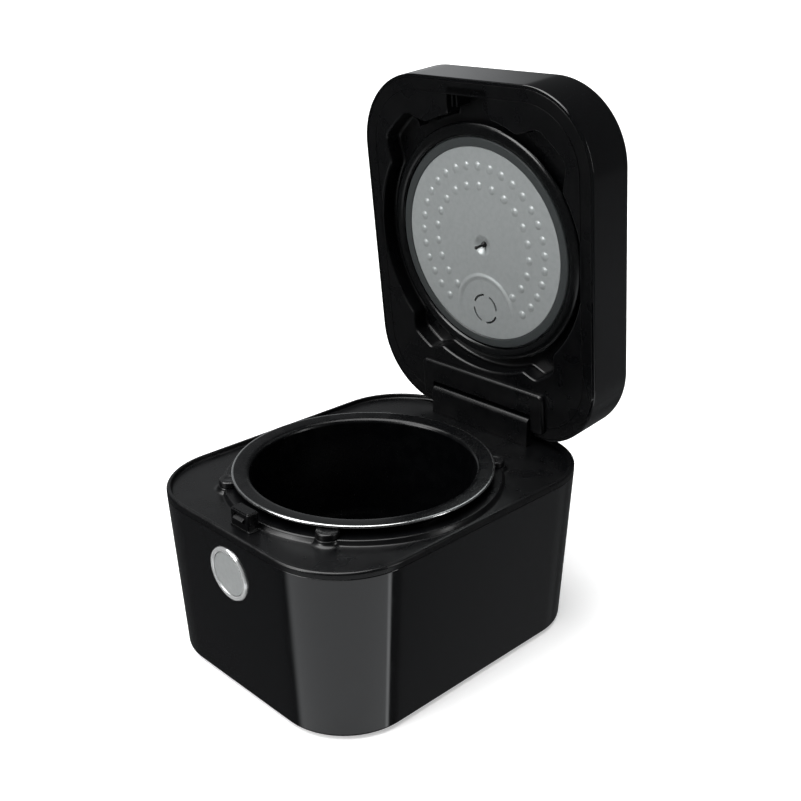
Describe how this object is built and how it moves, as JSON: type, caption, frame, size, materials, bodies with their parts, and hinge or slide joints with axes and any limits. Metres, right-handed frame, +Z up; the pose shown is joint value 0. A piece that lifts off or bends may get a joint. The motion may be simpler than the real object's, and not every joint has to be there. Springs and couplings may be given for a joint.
{
  "type": "rice cooker",
  "caption": "Countertop electric rice cooker with a square-cornered body, a hinged lid standing open, a lift-out coated pot and a clip-in inner plate.",
  "frame": {"origin": "middle of the body's footprint, on the surface that the feet stand on", "axes": "+Z up, the front with the release button faces -Y, +X is to the right as seen from the front"},
  "size_m": [0.24, 0.3248, 0.4413],
  "materials": {
    "gloss_black": "high gloss",
    "satin_black": "satin",
    "inner_plastic": "matte",
    "pot_coating": "satin non-stick coating",
    "grey_rubber": "satin",
    "pale_silicone": "matte",
    "satin_silver": "satin",
    "button_silver": "satin",
    "ring_plastic": "satin",
    "latch_plastic": "matte",
    "steel": "brushed",
    "spring_steel": "drawn",
    "galvanised": "galvanised",
    "copper_wire": "enamelled",
    "heat_plastic": "matte",
    "ferrite": "matte",
    "circuit_board": "satin",
    "panel_black": "high gloss"
  },
  "bodies": {
    "base": {"outer_casing": "gloss_black", "base_plate": "inner_plastic", "deck_frame": "satin_black", "cavity_liner": "galvanised", "foot_front_left": "grey_rubber", "foot_front_right": "grey_rubber", "foot_rear_left": "grey_rubber", "foot_rear_right": "grey_rubber", "pot_pad_front_left": "grey_rubber", "pot_pad_front_right": "grey_rubber", "pot_pad_rear_left": "grey_rubber", "pot_pad_rear_right": "grey_rubber", "coil_carrier": "heat_plastic", "induction_coil": "copper_wire", "ferrite_bars": "ferrite", "sensor_holder": "inner_plastic", "sensor_spring": "spring_steel", "main_board": "circuit_board", "heat_sink": "satin_silver", "fan_frame": "inner_plastic", "power_inlet": "inner_plastic", "inlet_pins": "steel", "base_screws": "steel", "button_bezel": "button_silver", "button_sleeve": "inner_plastic", "button_spring": "spring_steel", "latch_housing": "satin_black", "latch_bracket": "steel", "latch_pin": "steel", "latch_spring": "spring_steel", "hinge_tower": "satin_black", "hinge_spring": "spring_steel", "hinge_damper": "inner_plastic"},
    "lid": {"lid_shell": "gloss_black", "lid_rear_cover": "gloss_black", "lid_liner": "satin_black", "lid_catch": "steel", "lid_heater_plate": "satin_silver", "lid_heater": "copper_wire", "lid_sensor": "satin_silver", "plate_pin": "latch_plastic", "steam_duct": "inner_plastic", "control_panel": "panel_black", "control_board": "circuit_board", "lid_screws": "steel", "hinge_pin": "steel", "hinge_bracket_left": "steel", "hinge_bracket_right": "steel"},
    "temperature_sensor": {"bottom_sensor": "satin_silver"},
    "fan": {"fan_rotor": "latch_plastic"},
    "button": {"release_button": "button_silver"},
    "latch": {"latch_arm": "latch_plastic"},
    "pot": {"inner_pot": "pot_coating"},
    "plate": {"inner_plate": "satin_silver", "plate_ring": "ring_plastic", "pot_gasket": "grey_rubber"},
    "valve": {"steam_valve": "latch_plastic", "valve_seal": "pale_silicone"}
  },
  "joints": [
    {"name": "lid_hinge", "type": "hinge", "parent": "base", "child": "lid", "pos_m": [0, 0.1392, 0.1534], "axis": [-1, 0, 0], "range_deg": [-84, 0], "stiffness_Nm_per_rad": 0.95, "springref_deg": 34.38},
    {"name": "button_press", "type": "slide", "parent": "base", "child": "button", "axis": [0, 0.9987, 0.0517], "range_m": [0, 0.002], "stiffness_N_per_m": 600, "springref_m": -0.004, "deforming": ["button_spring"]},
    {"name": "latch_swing", "type": "hinge", "parent": "base", "child": "latch", "pos_m": [0, -0.1234, 0.04], "axis": [-1, 0, 0], "range_deg": [0, 1.9], "deforming": ["latch_spring"]},
    {"name": "sensor_press", "type": "slide", "parent": "base", "child": "temperature_sensor", "axis": [0, 0, -1], "range_m": [0, 0.002], "stiffness_N_per_m": 300, "springref_m": -0.004, "deforming": ["sensor_spring"]},
    {"name": "fan_spin", "type": "hinge", "parent": "base", "child": "fan", "pos_m": [0, 0.109, 0.0125], "axis": [0, 0, 1], "continuous": true},
    {"name": "pot_lift", "type": "slide", "parent": "base", "child": "pot", "axis": [0, 0, 1], "range_m": [0, 0.16]},
    {"name": "plate_lift", "type": "slide", "parent": "lid", "child": "plate", "axis": [0, -0.9945, -0.1045], "range_m": [0, 0.02]},
    {"name": "valve_lift", "type": "slide", "parent": "lid", "child": "valve", "axis": [0, 0.9945, 0.1045], "range_m": [0, 0.03]}
  ],
  "couplings": [
    {"joint": "latch_swing", "follows": "button_press", "rad_per_m": 16}
  ]
}
